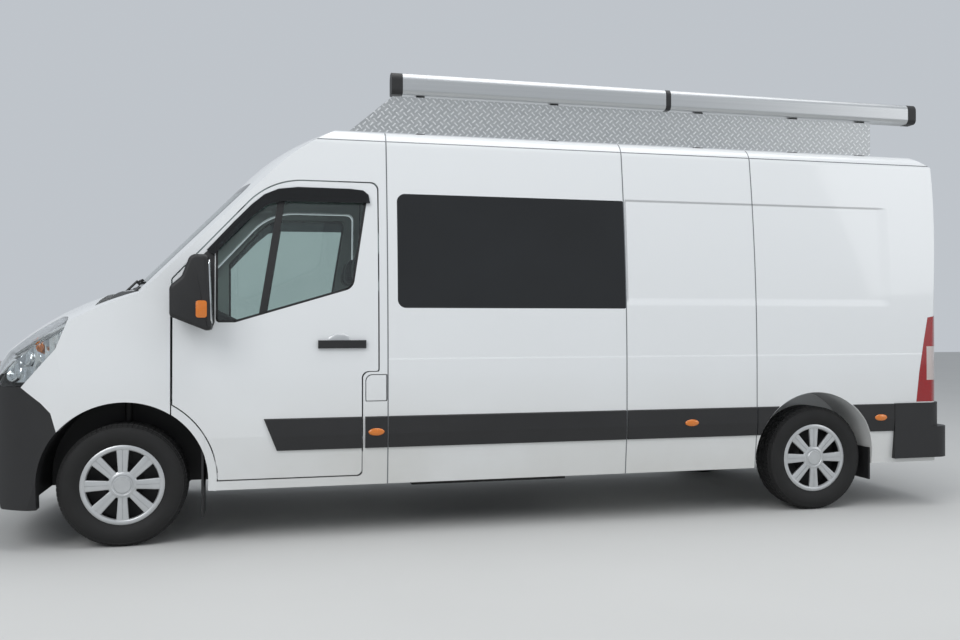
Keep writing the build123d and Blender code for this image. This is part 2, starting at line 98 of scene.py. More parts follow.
def glossWhitePaint():
    # two-pack white over pressed steel: gloss coat with faint orange peel, darker, browner and rougher towards
    # the bottom, and the presswork's seams, crease and recessed rear panel as height on the sides, with the
    # seams painted dark grey as painted shade
    material, tree, shader, place = newMaterial("glossWhitePaint", {
        "Coat Weight": 0.7, "Coat Roughness": 0.05, "IOR": 1.5})
    peel = addNode(tree, "TexNoise", {"Scale": 90.0, "Detail": 2.0}, {"Vector": place})  # 11 mm orange peel
    cloud = addNode(tree, "TexNoise", {"Scale": 1.6, "Detail": 6.0}, {"Vector": place})
    axes = addNode(tree, "SeparateXYZ", None, {0: place}).outputs
    across = addNode(tree, "Math", {"operation": "ABSOLUTE"}, {0: axes["Y"]}).outputs[0]
    onSide = addNode(tree, "Math", {"operation": "GREATER_THAN", 1: panelLines["sideFrom"]},
                     {0: across}).outputs[0]
    lines = [("X", along, panelLines["seamHalf"]) for along in panelLines["seams"]]
    seam = None
    for axis, middle, half in lines + [("Z", panelLines["gutter"], panelLines["gutterHalf"])]:
        line = addNode(tree, "Math", {"operation": "COMPARE", 1: middle, 2: half}, {0: axes[axis]}).outputs[0]
        if seam:
            line = addNode(tree, "Math", {"operation": "MAXIMUM"}, {0: seam, 1: line}).outputs[0]
        seam = line
    seam = addNode(tree, "Math", {"operation": "MULTIPLY"}, {0: seam, 1: onSide}).outputs[0]
    recess = onSide
    for axis, start, end in panelLines["recess"]:
        edge = addNode(tree, "MapRange", {"interpolation_type": "SMOOTHSTEP", "From Min": start,
                                          "From Max": end}, {0: axes[axis]}).outputs[0]
        recess = addNode(tree, "Math", {"operation": "MULTIPLY"}, {0: recess, 1: edge}).outputs[0]
    start, end = panelLines["crease"]
    crease = addNode(tree, "MapRange", {"interpolation_type": "SMOOTHSTEP", "From Min": start,
                                        "From Max": end}, {0: axes["Z"]}).outputs[0]
    behind = addNode(tree, "Math", {"operation": "GREATER_THAN", 1: panelLines["seams"][0]},
                     {0: axes["X"]}).outputs[0]
    crease = addNode(tree, "Math", {"operation": "MULTIPLY"}, {0: crease, 1: behind}).outputs[0]
    pressed = addNode(tree, "Math", {"operation": "MULTIPLY_ADD", 1: 3.5}, {0: recess, 2: seam}).outputs[0]
    pressed = addNode(tree, "Math", {"operation": "MULTIPLY_ADD", 1: 0.9}, {0: crease, 2: pressed}).outputs[0]
    low = addNode(tree, "MapRange", {"From Min": 0.25, "From Max": 0.95, "To Min": 0.7, "To Max": 0.04},
                  {0: axes["Z"]}).outputs[0]
    # darker, browner and rougher towards the bottom, in random patches
    darkerLowPatches = addNode(tree, "Math", {"operation": "MULTIPLY"}, {0: low, 1: cloud.outputs["Fac"]}).outputs[0]
    colour = addNode(tree, "Mix", colourRange("#E4E6E7", "#A9A496"), {0: darkerLowPatches})
    # the seam and gutter lines are painted dark grey: painted shade in the gaps
    seamShadeColour = addNode(tree, "Mix", {"data_type": "RGBA", 7: linearColour("#6E7174")},
                    {0: seam, 6: colour.outputs[2]})
    rough = addNode(tree, "MapRange", {"To Min": 0.3, "To Max": 0.6}, {0: darkerLowPatches})
    press = addNode(tree, "Bump", {"Strength": 1.0, "Distance": panelLines["depth"], "invert": True},
                    {"Height": pressed})
    bump = addNode(tree, "Bump", {"Strength": 0.2, "Distance": 0.0002},
                   {"Height": peel.outputs["Fac"], "Normal": press.outputs[0]})
    linkLook(tree, shader, seamShadeColour, rough, bump)
    return material


def grainedPolypropylene(name, dark, light, grain):
    # moulded polypropylene: a leather-like grain, in mm, that breaks the gloss into a soft sheen, greyer
    # where it weathers
    material, tree, shader, place = newMaterial(name, {"IOR": 1.49})
    cells = addNode(tree, "TexVoronoi", {"Scale": 1000.0 / grain, "feature": "DISTANCE_TO_EDGE"},
                    {"Vector": place})
    cloud = addNode(tree, "TexNoise", {"Scale": 4.0, "Detail": 7.0, "Roughness": 0.65}, {"Vector": place})
    colour = addNode(tree, "Mix", colourRange(dark, light), {0: cloud.outputs["Fac"]})
    rough = addNode(tree, "MapRange", {"To Min": 0.4, "To Max": 0.66}, {0: cloud.outputs["Fac"]})
    bump = addNode(tree, "Bump", {"Strength": 0.35, "Distance": 0.0003}, {"Height": cells.outputs["Distance"]})
    linkLook(tree, shader, colour, rough, bump)
    return material


def clearSheet(name, tint, haze):
    # float glass or clear moulded sheet: sharp reflections, a faint tint of its own and a thin film of dust
    material, tree, shader, place = newMaterial(name, {"Transmission Weight": 1.0, "IOR": 1.5})
    film = addNode(tree, "TexNoise", {"Scale": 3.0, "Detail": 5.0}, {"Vector": place})
    colour = addNode(tree, "Mix", colourRange(tint[0], tint[1]), {0: film.outputs["Fac"]})
    rough = addNode(tree, "MapRange", {"To Min": 0.0, "To Max": haze}, {0: film.outputs["Fac"]})
    linkLook(tree, shader, colour, rough)
    return material


def borderedWindscreen():
    # laminated glass with a black enamel border baked round its edge to hide the bonding
    material, tree, shader, place = newMaterial("laminatedWindscreen", {"IOR": 1.52})
    axes = addNode(tree, "SeparateXYZ", None, {0: place}).outputs
    across = addNode(tree, "Math", {"operation": "ABSOLUTE"}, {0: axes["Y"]}).outputs[0]
    lean = addNode(tree, "MapRange", {"From Min": 1.432, "From Max": 2.088, "To Min": 0.862, "To Max": 0.775},
                   {0: axes["Z"]})
    atSide = addNode(tree, "Math", {"operation": "GREATER_THAN"}, {0: across, 1: lean.outputs[0]}).outputs[0]
    atFoot = addNode(tree, "Math", {"operation": "LESS_THAN", 1: 1.482}, {0: axes["Z"]}).outputs[0]
    atHead = addNode(tree, "Math", {"operation": "GREATER_THAN", 1: 2.035}, {0: axes["Z"]}).outputs[0]
    ends = addNode(tree, "Math", {"operation": "MAXIMUM"}, {0: atFoot, 1: atHead}).outputs[0]
    border = addNode(tree, "Math", {"operation": "MAXIMUM"}, {0: ends, 1: atSide}).outputs[0]
    film = addNode(tree, "TexNoise", {"Scale": 3.0, "Detail": 5.0}, {"Vector": place})
    rough = addNode(tree, "MapRange", {"To Min": 0.0, "To Max": 0.03}, {0: film.outputs["Fac"]})
    colour = addNode(tree, "Mix", colourRange("#CFE0DA", "#08090A"), {0: border})
    clear = addNode(tree, "Math", {"operation": "SUBTRACT", 0: 1.0}, {1: border})
    tree.links.new(clear.outputs[0], shader["Transmission Weight"])
    linkLook(tree, shader, colour, rough)
    return material


def mouldedLens(name, colours, ribs):
    # injection-moulded acrylic lens: coloured through, glossy outside, with moulded optics behind it
    material, tree, shader, place = newMaterial(name, {
        "Roughness": 0.1, "Coat Weight": 1.0, "Coat Roughness": 0.02, "IOR": 1.49})
    flutes = addNode(tree, "TexWave", {"Scale": ribs, "bands_direction": "Z"}, {"Vector": place})
    colour = addNode(tree, "Mix", colourRange(colours[0], colours[1]), {0: flutes.outputs["Fac"]})
    bump = addNode(tree, "Bump", {"Strength": 0.3, "Distance": 0.0008}, {"Height": flutes.outputs["Fac"]})
    linkLook(tree, shader, colour, None, bump)
    return material


def redAndClearTailLens():
    # two-shot acrylic rear lens: red through, with a clear band for the reversing and direction lamps
    material, tree, shader, place = newMaterial("twoShotTailLens", {
        "Roughness": 0.08, "Coat Weight": 1.0, "Coat Roughness": 0.02, "IOR": 1.49})
    flutes = addNode(tree, "TexWave", {"Scale": 60.0, "bands_direction": "Z"}, {"Vector": place})
    axes = addNode(tree, "SeparateXYZ", None, {0: place}).outputs
    above = addNode(tree, "Math", {"operation": "GREATER_THAN", 1: 0.86}, {0: axes["Z"]}).outputs[0]
    below = addNode(tree, "Math", {"operation": "LESS_THAN", 1: 1.09}, {0: axes["Z"]}).outputs[0]
    inner = addNode(tree, "Math", {"operation": "GREATER_THAN", 1: 2.895}, {0: axes["X"]}).outputs[0]
    band = addNode(tree, "Math", {"operation": "MULTIPLY"}, {0: above, 1: below}).outputs[0]
    band = addNode(tree, "Math", {"operation": "MULTIPLY"}, {0: band, 1: inner}).outputs[0]
    red = addNode(tree, "Mix", colourRange("#B21218", "#6E0509"), {0: flutes.outputs["Fac"]})
    clear = addNode(tree, "Mix", colourRange("#D9C9C4", "#A9A19E"), {0: flutes.outputs["Fac"]})
    colour = addNode(tree, "Mix", {"data_type": "RGBA"}, {0: band, 6: red.outputs[2], 7: clear.outputs[2]})
    bump = addNode(tree, "Bump", {"Strength": 0.3, "Distance": 0.0008}, {"Height": flutes.outputs["Fac"]})
    linkLook(tree, shader, colour, None, bump)
    return material


def privacyGlass():
    # body-tinted dark glass: almost black, with the clean reflection of a polished sheet
    material, tree, shader, place = newMaterial("privacyGlass", {"IOR": 1.55})
    film = addNode(tree, "TexNoise", {"Scale": 2.5, "Detail": 5.0}, {"Vector": place})
    colour = addNode(tree, "Mix", colourRange("#0A0B0C", "#17191B"), {0: film.outputs["Fac"]})
    rough = addNode(tree, "MapRange", {"To Min": 0.02, "To Max": 0.07}, {0: film.outputs["Fac"]})
    linkLook(tree, shader, colour, rough)
    return material


def tyreRubber():
    # vulcanised rubber: near black, matt, with a grey bloom of dust
    material, tree, shader, place = newMaterial("tyreRubber", {"IOR": 1.52})
    bloom = addNode(tree, "TexNoise", {"Scale": 9.0, "Detail": 8.0}, {"Vector": place})
    fine = addNode(tree, "TexNoise", {"Scale": 700.0, "Detail": 2.0}, {"Vector": place})
    colour = addNode(tree, "Mix", colourRange("#0A0A0B", "#161514"), {0: bloom.outputs["Fac"]})
    rough = addNode(tree, "MapRange", {"To Min": 0.6, "To Max": 0.85}, {0: bloom.outputs["Fac"]})
    bump = addNode(tree, "Bump", {"Strength": 0.4, "Distance": 0.0004}, {"Height": fine.outputs["Fac"]})
    linkLook(tree, shader, colour, rough, bump)
    return material


def silverPaintedPlastic():
    # ABS wheel cover in silver lacquer: fine metal flake under a satin clear coat, with brake dust in it
    material, tree, shader, place = newMaterial("silverPaintedPlastic", {
        "Metallic": 0.55, "Coat Weight": 0.3, "Coat Roughness": 0.15})
    flake = addNode(tree, "TexNoise", {"Scale": 900.0, "Detail": 2.0}, {"Vector": place})
    grime = addNode(tree, "TexNoise", {"Scale": 14.0, "Detail": 6.0}, {"Vector": place})
    colour = addNode(tree, "Mix", colourRange("#B4B6B7", "#CDCFD0"), {0: grime.outputs["Fac"]})
    rough = addNode(tree, "MapRange", {"To Min": 0.28, "To Max": 0.44}, {0: flake.outputs["Fac"]})
    linkLook(tree, shader, colour, rough)
    return material


def anodisedAluminium():
    # extruded and anodised: pale satin metal with die lines running along it
    material, tree, shader, place = newMaterial("anodisedAluminium", {"Metallic": 0.85})
    stretched = addNode(tree, "Mapping", {"Scale": (0.4, 260.0, 260.0)}, {"Vector": place})
    dieLines = addNode(tree, "TexNoise", {"Scale": 1.0, "Detail": 4.0}, {"Vector": stretched.outputs[0]})
    colour = addNode(tree, "Mix", colourRange("#B7B9BA", "#C9CBCC"), {0: dieLines.outputs["Fac"]})
    rough = addNode(tree, "MapRange", {"To Min": 0.32, "To Max": 0.46}, {0: dieLines.outputs["Fac"]})
    linkLook(tree, shader, colour, rough)
    return material


def rolledTreadPlate():
    # rolled aluminium tread plate: bars raised at 45 degrees and painted lighter as a painted highlight, turned
    # every other one, 32 mm apart
    material, tree, shader, place = newMaterial("rolledTreadPlate", {"Metallic": 0.7})
    pitch = 0.032
    axes = addNode(tree, "SeparateXYZ", None, {0: place}).outputs
    total = addNode(tree, "Math", {"operation": "ADD"}, {0: axes["X"], 1: axes["Z"]}).outputs[0]
    spread = addNode(tree, "Math", {"operation": "SUBTRACT"}, {0: axes["X"], 1: axes["Z"]}).outputs[0]
    cells, off = [], []  # number of the cell each way, and distance from its middle
    for slanted in (total, spread):
        across = addNode(tree, "Math", {"operation": "DIVIDE", 1: pitch * math.sqrt(2)},
                         {0: slanted}).outputs[0]
        cells.append(addNode(tree, "Math", {"operation": "FLOOR"}, {0: across}).outputs[0])
        inCell = addNode(tree, "Math", {"operation": "FRACT"}, {0: across}).outputs[0]
        fromMiddle = addNode(tree, "Math", {"operation": "SUBTRACT", 1: 0.5}, {0: inCell}).outputs[0]
        off.append(addNode(tree, "Math", {"operation": "ABSOLUTE"}, {0: fromMiddle}).outputs[0])
    both = addNode(tree, "Math", {"operation": "ADD"}, {0: cells[0], 1: cells[1]}).outputs[0]
    odd = addNode(tree, "Math", {"operation": "PINGPONG", 1: 1.0}, {0: both}).outputs[0]
    bars = []
    for thin, long in ((0, 1), (1, 0)):
        narrow = addNode(tree, "MapRange", {"interpolation_type": "SMOOTHSTEP", "From Min": 0.08,
                                            "From Max": 0.17, "To Min": 1.0, "To Max": 0.0},
                         {0: off[thin]}).outputs[0]
        ending = addNode(tree, "MapRange", {"interpolation_type": "SMOOTHSTEP", "From Min": 0.34,
                                            "From Max": 0.46, "To Min": 1.0, "To Max": 0.0},
                         {0: off[long]}).outputs[0]
        bars.append(addNode(tree, "Math", {"operation": "MULTIPLY"}, {0: narrow, 1: ending}).outputs[0])
    raised = addNode(tree, "Mix", None, {0: odd, 2: bars[0], 3: bars[1]}).outputs[0]
    scuff = addNode(tree, "TexNoise", {"Scale": 30.0, "Detail": 9.0}, {"Vector": place})
    flat = addNode(tree, "Mix", colourRange("#A3A6A7", "#C0C2C3"), {0: scuff.outputs["Fac"]})
    # the raised bars are painted a lighter grey: a painted highlight on their tops
    colour = addNode(tree, "Mix", {"data_type": "RGBA", 7: linearColour("#DCDEDF")},
                     {0: raised, 6: flat.outputs[2]})
    rough = addNode(tree, "MapRange", {"To Min": 0.3, "To Max": 0.52}, {0: scuff.outputs["Fac"]})
    bump = addNode(tree, "Bump", {"Strength": 0.9, "Distance": 0.002}, {"Height": raised})
    linkLook(tree, shader, colour, rough, bump)
    return material


def paintedSteel(name, colours, smoothest):
    # pressed or cast steel under plain paint, dulled by road film
    material, tree, shader, place = newMaterial(name, {"IOR": 1.5})
    film = addNode(tree, "TexNoise", {"Scale": 12.0, "Detail": 8.0}, {"Vector": place})
    cast = addNode(tree, "TexNoise", {"Scale": 260.0, "Detail": 3.0}, {"Vector": place})
    colour = addNode(tree, "Mix", colourRange(colours[0], colours[1]), {0: film.outputs["Fac"]})
    rough = addNode(tree, "MapRange", {"To Min": smoothest, "To Max": smoothest + 0.25},
                    {0: film.outputs["Fac"]})
    bump = addNode(tree, "Bump", {"Strength": 0.3, "Distance": 0.0005}, {"Height": cast.outputs["Fac"]})
    linkLook(tree, shader, colour, rough, bump)
    return material


def vacuumChromedPlastic():
    # chrome evaporated on to moulded plastic: a mirror with slight moulding waves
    material, tree, shader, place = newMaterial("vacuumChromedPlastic", {"Metallic": 1.0})
    waves = addNode(tree, "TexNoise", {"Scale": 30.0, "Detail": 2.0}, {"Vector": place})
    colour = addNode(tree, "Mix", colourRange("#C9CCCE", "#EEF0F1"), {0: waves.outputs["Fac"]})
    rough = addNode(tree, "MapRange", {"To Min": 0.06, "To Max": 0.2}, {0: waves.outputs["Fac"]})
    bump = addNode(tree, "Bump", {"Strength": 0.3, "Distance": 0.002}, {"Height": waves.outputs["Fac"]})
    linkLook(tree, shader, colour, rough, bump)
    return material


def wovenSeatCloth():
    # woven polyester seat cloth: a 2 mm basket weave drawn 8 mm wide so that it shows through the door glass
    material, tree, shader, place = newMaterial("wovenSeatCloth", {"Sheen Weight": 0.3})
    warp = addNode(tree, "TexWave", {"Scale": 20.0, "bands_direction": "Y"}, {"Vector": place}).outputs["Fac"]
    weft = addNode(tree, "TexWave", {"Scale": 20.0, "bands_direction": "Z"}, {"Vector": place}).outputs["Fac"]
    weave = addNode(tree, "Math", {"operation": "MULTIPLY"}, {0: warp, 1: weft}).outputs[0]
    fading = addNode(tree, "TexNoise", {"Scale": 5.0, "Detail": 4.0}, {"Vector": place})
    colour = addNode(tree, "Mix", colourRange("#26292F", "#474B55"), {0: weave})
    rough = addNode(tree, "MapRange", {"To Min": 0.82, "To Max": 0.95}, {0: fading.outputs["Fac"]})
    bump = addNode(tree, "Bump", {"Strength": 0.5, "Distance": 0.0008}, {"Height": weave})
    linkLook(tree, shader, colour, rough, bump)
    return material


finishes = {
    "body_paint": glossWhitePaint(),
    "black_plastic": grainedPolypropylene("grainedPolypropylene", "#161617", "#272728", 1.6),
    "clear_glass": clearSheet("toughenedGlass", ("#CFDEDA", "#DCE8E4"), 0.03),
    "dark_glass": privacyGlass(),
    "smoked_acrylic": clearSheet("smokedAcrylic", ("#2B2D31", "#3A3C40"), 0.05),
    "tyre": tyreRubber(),
    "wheel_steel": paintedSteel("blackWheelPaint", ("#111112", "#1E1E1F"), 0.45),
    "cover_silver": silverPaintedPlastic(),
    "headlamp_lens": clearSheet("polycarbonateLens", ("#EDF1F2", "#F6F8F8"), 0.02),
    "tail_lens": redAndClearTailLens(),
    "amber_lens": mouldedLens("amberMarkerLens", ("#F08A12", "#B35405"), 90.0),
    "awning_metal": anodisedAluminium(),
    "tread_plate": rolledTreadPlate(),
    "chassis_steel": paintedSteel("waxedChassisSteel", ("#141415", "#2A2826"), 0.5),
    "dash_plastic": grainedPolypropylene("dashboardMoulding", "#2A2B2D", "#383A3C", 1.2),
    "seat_fabric": wovenSeatCloth(),
}
chrome = vacuumChromedPlastic()
slotOf = {part["node"]: part["material_slot"] for part in frame["record"]["subparts"]}
for name, node in nodes.items():
    node.data.materials.clear()
    node.data.materials.append(finishes[slotOf[name]])
nodes["windscreen"].data.materials[0] = borderedWindscreen()
print("stage: materials on", len(slotOf), "nodes")


# Modelling helpers
mergeWithin = 0.00005  # points nearer than this are one point


def setMode(mode):
    bpy.ops.object.mode_set(mode=mode)


def pickAll():
    bpy.ops.mesh.select_all(action="SELECT")


def selectOnly(piece):
    bpy.ops.object.select_all(action="DESELECT")
    piece.select_set(True)
    bpy.context.view_layer.objects.active = piece


def applyPlace(piece):
    # its place, turn and size into its mesh
    selectOnly(piece)
    bpy.ops.object.transform_apply(location=True, rotation=True, scale=True)


def pickNothing(kind):
    setMode("EDIT")
    bpy.ops.mesh.select_mode(type=kind)
    bpy.ops.mesh.select_all(action="DESELECT")
    setMode("OBJECT")


def pickFaces(piece, wanted):
    # into edit mode with the faces that a test on the face wants
    pickNothing("FACE")
    for face in piece.data.polygons:
        face.select = wanted(face)
    setMode("EDIT")


def pickEdges(piece, wanted):
    # into edit mode with the edges that a test on their two ends wants
    pickNothing("EDGE")
    points = piece.data.vertices
    for edge in piece.data.edges:
        edge.select = wanted(points[edge.vertices[0]].co, points[edge.vertices[1]].co)
    setMode("EDIT")


def turnOutwards(merged=False):
    # in edit mode: every face outwards, after its points are merged if asked
    pickAll()
    if merged:
        bpy.ops.mesh.remove_doubles(threshold=mergeWithin)
    bpy.ops.mesh.normals_make_consistent(inside=False)


def extrudeBy(step):
    bpy.ops.mesh.extrude_region_move(TRANSFORM_OT_translate={"value": step})


def finishPiece(piece, name, body, slotName, smooth=30.0, finish=None):
    # place into the mesh, smooth by angle, name and body, and the slot's finish unless another one is given
    setMode("OBJECT")
    applyPlace(piece)
    bpy.ops.object.shade_smooth_by_angle(angle=math.radians(smooth))
    piece.name = name
    piece.data.materials.clear()
    piece.data.materials.append(finish or finishes[slotName])
    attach(piece, body)
    bpy.ops.object.select_all(action="DESELECT")
    return piece


def copyPiece(piece, shift=(0, 0, 0), turn=0.0, size=(1, 1, 1)):
    # a copy with its own mesh, moved, turned about Z and scaled
    twin = piece.copy()
    twin.data = piece.data.copy()
    bpy.context.collection.objects.link(twin)
    twin.location = Vector(twin.location) + Vector(shift)
    twin.rotation_euler.z += turn
    if size != (1, 1, 1):
        twin.scale = size
    return twin


def copyNode(nodeName):
    # a CAD node's copy, in edit mode with its loose triangles merged
    piece = nodes[nodeName].copy()
    piece.data = nodes[nodeName].data.copy()
    piece.parent = None
    bpy.context.collection.objects.link(piece)
    selectOnly(piece)
    setMode("EDIT")
    pickAll()
    bpy.ops.mesh.remove_doubles(threshold=mergeWithin)
    return piece


def joinPieces(several):
    bpy.ops.object.select_all(action="DESELECT")
    for piece in several:
        piece.select_set(True)
    bpy.context.view_layer.objects.active = several[0]
    bpy.ops.object.transform_apply(location=True, rotation=True, scale=True)
    bpy.ops.object.join()
    return bpy.context.object


def bothSides(piece, name, slotName, smooth=30.0, bodies=("front_door_left", "front_door_right")):
    # the left piece, and its mirror image on the right
    setMode("OBJECT")
    applyPlace(piece)
    twin = copyPiece(piece, size=(1, -1, 1))
    left = finishPiece(piece, name + "Left", bodies[0], slotName, smooth)
    right = finishPiece(twin, name + "Right", bodies[1], slotName, smooth)
    right.select_set(True)
    bpy.context.view_layer.objects.active = right
    setMode("EDIT")
    turnOutwards()
    setMode("OBJECT")
    bpy.ops.object.select_all(action="DESELECT")
    return left, right


def drawnPath(points):
    # one vertex extruded from point to point
    bpy.ops.mesh.primitive_plane_add(size=0.01, location=points[0])
    piece = bpy.context.object
    bpy.ops.object.transform_apply(location=True, rotation=False, scale=False)
    setMode("EDIT")
    bpy.ops.mesh.merge(type="CENTER")
    bpy.ops.mesh.select_mode(type="VERT")
    pickAll()
    for start, end in zip(points, points[1:]):
        extrudeBy(Vector(end) - Vector(start))
    pickAll()
    return piece


def spunPiece(profile, steps):
    # closed profile of radius and depth in mm, turned about the Y axis
    piece = drawnPath([(0, -depth / 1000, radius / 1000) for radius, depth in profile])
    bpy.ops.mesh.spin(steps=steps, angle=math.tau, center=(0, 0, 0), axis=(0, 1, 0), use_auto_merge=True)
    turnOutwards(merged=True)
    setMode("OBJECT")
    return piece


def drawnPlate(points, thick):
    # flat outline filled and given its thickness along Y
    piece = drawnPath(points)
    bpy.ops.mesh.edge_face_add()
    extrudeBy((0, thick, 0))
    turnOutwards()
    return piece


def roundedPlate(low, high, along, corner, thin=0.0012):
    # box between two corners, with the edges along one axis rounded, then all edges eased
    size = [b - a for a, b in zip(low, high)]
    bpy.ops.mesh.primitive_cube_add(size=1.0, location=[(a + b) / 2 for a, b in zip(low, high)])
    plate = bpy.context.object
    plate.scale = size
    bpy.ops.object.transform_apply(location=False, rotation=False, scale=True)
    pickEdges(plate, lambda a, b: abs((b - a)[along]) > size[along] * 0.9)
    bpy.ops.mesh.bevel(offset=corner, segments=6)
    pickFaces(plate, lambda face: abs(face.normal[along]) > 0.9)
    bpy.ops.mesh.bevel(offset=thin, segments=2)
    setMode("OBJECT")
    return plate


bodySide = {"half": 1.036, "waist": 0.9, "bow": 9.5, "skirtTop": 0.6, "skirtTuck": 0.05 / 0.45}  # metres


def sideY(z):
    # half width of the body's side at a height, in metres
    tuck = max(bodySide["skirtTop"] - z, 0.0) * bodySide["skirtTuck"]
    rise = max(z - bodySide["waist"], 0.0)
    return bodySide["half"] - tuck - (bodySide["bow"] - math.sqrt(bodySide["bow"] ** 2 - rise ** 2))


def sidePlate(points, proud, thick, ease=0.0):
    # plate on the left side from its outline (x, z in mm), each point proud of the skin, thick outwards
    corners = [(x / 1000, -sideY(z / 1000) - p / 1000, z / 1000) for (x, z), p in zip(points, proud)]
    piece = drawnPlate(corners, -thick / 1000)
    setMode("OBJECT")
    if ease:
        pickFaces(piece, lambda face: face.normal.y < -0.7)
        bpy.ops.mesh.bevel(offset=ease / 1000, segments=2)
        setMode("OBJECT")
    return piece


# Tyres with shoulder and centre blocks, one profile spun and copied
tyreShape = {
    "profile": [  # radius and width from the wheel's centre plane, mm
        (212, 80), (226, 86), (240, 98), (258, 107.5), (278, 112), (298, 111), (314, 107), (323, 102),
        (331, 94.5), (337.5, 84), (338, 53), (331, 51), (331, 45), (338, 43), (338, 10), (331, 8)],
    "steps": 76,                        # one block and one slot each, 28 mm at the tread
    "slot": 0.0024, "blockHeight": 0.0065, "shoulderHeight": 0.003,
    "tread": (0.3365, 0.084),           # beyond this radius and within this half width
    "shoulder": (0.32, 0.085, 0.0985),  # beyond this radius and between these half widths
    "radius": 0.345, "places": {"front_left": (-2.257, -0.87), "front_right": (-2.257, 0.87),
                                "rear_left": (2.075, -0.87), "rear_right": (2.075, 0.87)},
}
treadRadius, treadHalf = tyreShape["tread"]
shoulderRadius, shoulderFrom, shoulderTo = tyreShape["shoulder"]
halfProfile = tyreShape["profile"]
otherHalf = [(radius, -width) for radius, width in reversed(halfProfile)]
tyre = spunPiece(halfProfile + otherHalf + halfProfile[:1], tyreShape["steps"])
pickFaces(tyre, lambda face: math.hypot(face.center.x, face.center.z) > treadRadius
          and abs(face.center.y) < treadHalf and abs(face.normal.y) < 0.3)
bpy.ops.mesh.inset(thickness=tyreShape["slot"], depth=tyreShape["blockHeight"], use_individual=True)
pickFaces(tyre, lambda face: shoulderFrom < abs(face.center.y) < shoulderTo
          and math.hypot(face.center.x, face.center.z) > shoulderRadius)
bpy.ops.mesh.inset(thickness=tyreShape["slot"], depth=tyreShape["shoulderHeight"], use_individual=True)
setMode("OBJECT")
for wheel, (x, y) in tyreShape["places"].items():
    copy = copyPiece(tyre, (x, y, tyreShape["radius"]))
    finishPiece(copy, "treadedTyre_" + wheel, "wheel_" + wheel, "tyre", 28.0)
    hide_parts("tyre_" + wheel)
bpy.data.objects.remove(tyre)
print("stage: tyres made")


# Wheel covers: rim ring, hub cap and eight grooved spokes
coverShape = {
    "ring": [(212, 80), (221, 84.5), (224, 88), (217, 92), (206, 93), (199, 89), (194, 78), (203, 74)],
    "hub": [(0, 93), (43, 92.5), (47, 88), (53, 87), (58, 91), (68, 90), (78, 82), (76, 72), (0, 72)],
    "spokes": 8, "spokeFoot": 0.024, "spokeHead": 0.034, "spokeFrom": 0.062, "spokeTo": 0.203,
    "spokeY": (0.073, 0.0875), "spokeEdge": 0.006, "grooveHalf": 0.0016, "grooveDepth": 0.004,
}
ring = spunPiece(coverShape["ring"] + coverShape["ring"][:1], 96)
hub = spunPiece(coverShape["hub"], 64)
backY, faceY = coverShape["spokeY"]
footHalf, headHalf = coverShape["spokeFoot"], coverShape["spokeHead"]
spoke = drawnPlate([(-footHalf, -backY, coverShape["spokeFrom"]), (footHalf, -backY, coverShape["spokeFrom"]),
                    (headHalf, -backY, coverShape["spokeTo"]), (-headHalf, -backY, coverShape["spokeTo"])],
                   backY - faceY)
for cut in (-coverShape["grooveHalf"], coverShape["grooveHalf"]):
    pickAll()
    bpy.ops.mesh.bisect(plane_co=(cut, 0, 0), plane_no=(1, 0, 0))
setMode("OBJECT")
pickEdges(spoke, lambda a, b: min(abs(a.x), abs(b.x)) > 0.01 and (a.x > 0) == (b.x > 0)
          and abs((b - a).z) > 0.05 and max(a.y, b.y) < -0.08)
bpy.ops.mesh.bevel(offset=coverShape["spokeEdge"], segments=3)
pickFaces(spoke, lambda face: face.normal.y < -0.9 and abs(face.center.x) < 0.0012)
extrudeBy((0, coverShape["grooveDepth"], 0))
setMode("OBJECT")
spokes = [spoke]
for turn in range(1, coverShape["spokes"]):
    spokes.append(copyPiece(spoke))
    spokes[-1].rotation_euler.y = math.tau * turn / coverShape["spokes"]
cover = joinPieces([ring, hub] + spokes)
for wheel, (x, y) in tyreShape["places"].items():
    copy = copyPiece(cover, (x, y, tyreShape["radius"]), 0.0 if y < 0 else math.pi)
    finishPiece(copy, "spokedCover_" + wheel, "wheel_" + wheel, "cover_silver", 35.0)
    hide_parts("cover_" + wheel)
bpy.data.objects.remove(cover)
print("stage: wheel covers made")


# Headlamp insides: a chromed shell that follows the lens, with two bowls and an amber bulb
lampShape = {
    "shrink": 0.84, "sink": 0.042, "facing": (-0.68, -0.66, 0.32),
    "bowls": [((-2.812, -0.862, 0.985), 0.062), ((-2.742, -0.918, 1.058), 0.048)],  # left lamp, radius
    "bulb": ((-2.672, -0.945, 1.122), 0.026),
    "rim": (0.1, 0.004), "dish": ((0.14, -0.010), (0.2, -0.009), (0.24, -0.005), (0.06, 0.012)),
}
facing = Vector(lampShape["facing"]).normalized()
lampShell = copyNode("headlamps")
for side in (-1, 1):
    pickFaces(lampShell, lambda face: face.center.y * side > 0)
    chosen = [v.co for v in lampShell.data.vertices if v.co.y * side > 0]
    middle = sum(chosen, Vector()) / len(chosen)
    bpy.ops.transform.resize(value=(lampShape["shrink"],) * 3, center_override=middle)
    bpy.ops.transform.translate(value=Vector((-facing.x, facing.y * side, -facing.z)) * lampShape["sink"])
finishPiece(lampShell, "headlampReflectors", "van", "headlamp_lens", 40.0, chrome)


def lampBowl(place, radius):
    # a ring with a dished middle, facing out of the lamp
    bpy.ops.mesh.primitive_cylinder_add(vertices=40, radius=radius, depth=0.02, location=place)
    bowl = bpy.context.object
    bowl.rotation_euler = facing.to_track_quat("Z", "Y").to_euler()
    pickFaces(bowl, lambda face: face.normal.z > 0.9)
    for share, depth in (lampShape["rim"],) + lampShape["dish"]:
        bpy.ops.mesh.inset(thickness=radius * share, depth=depth)
    setMode("OBJECT")
    return bowl


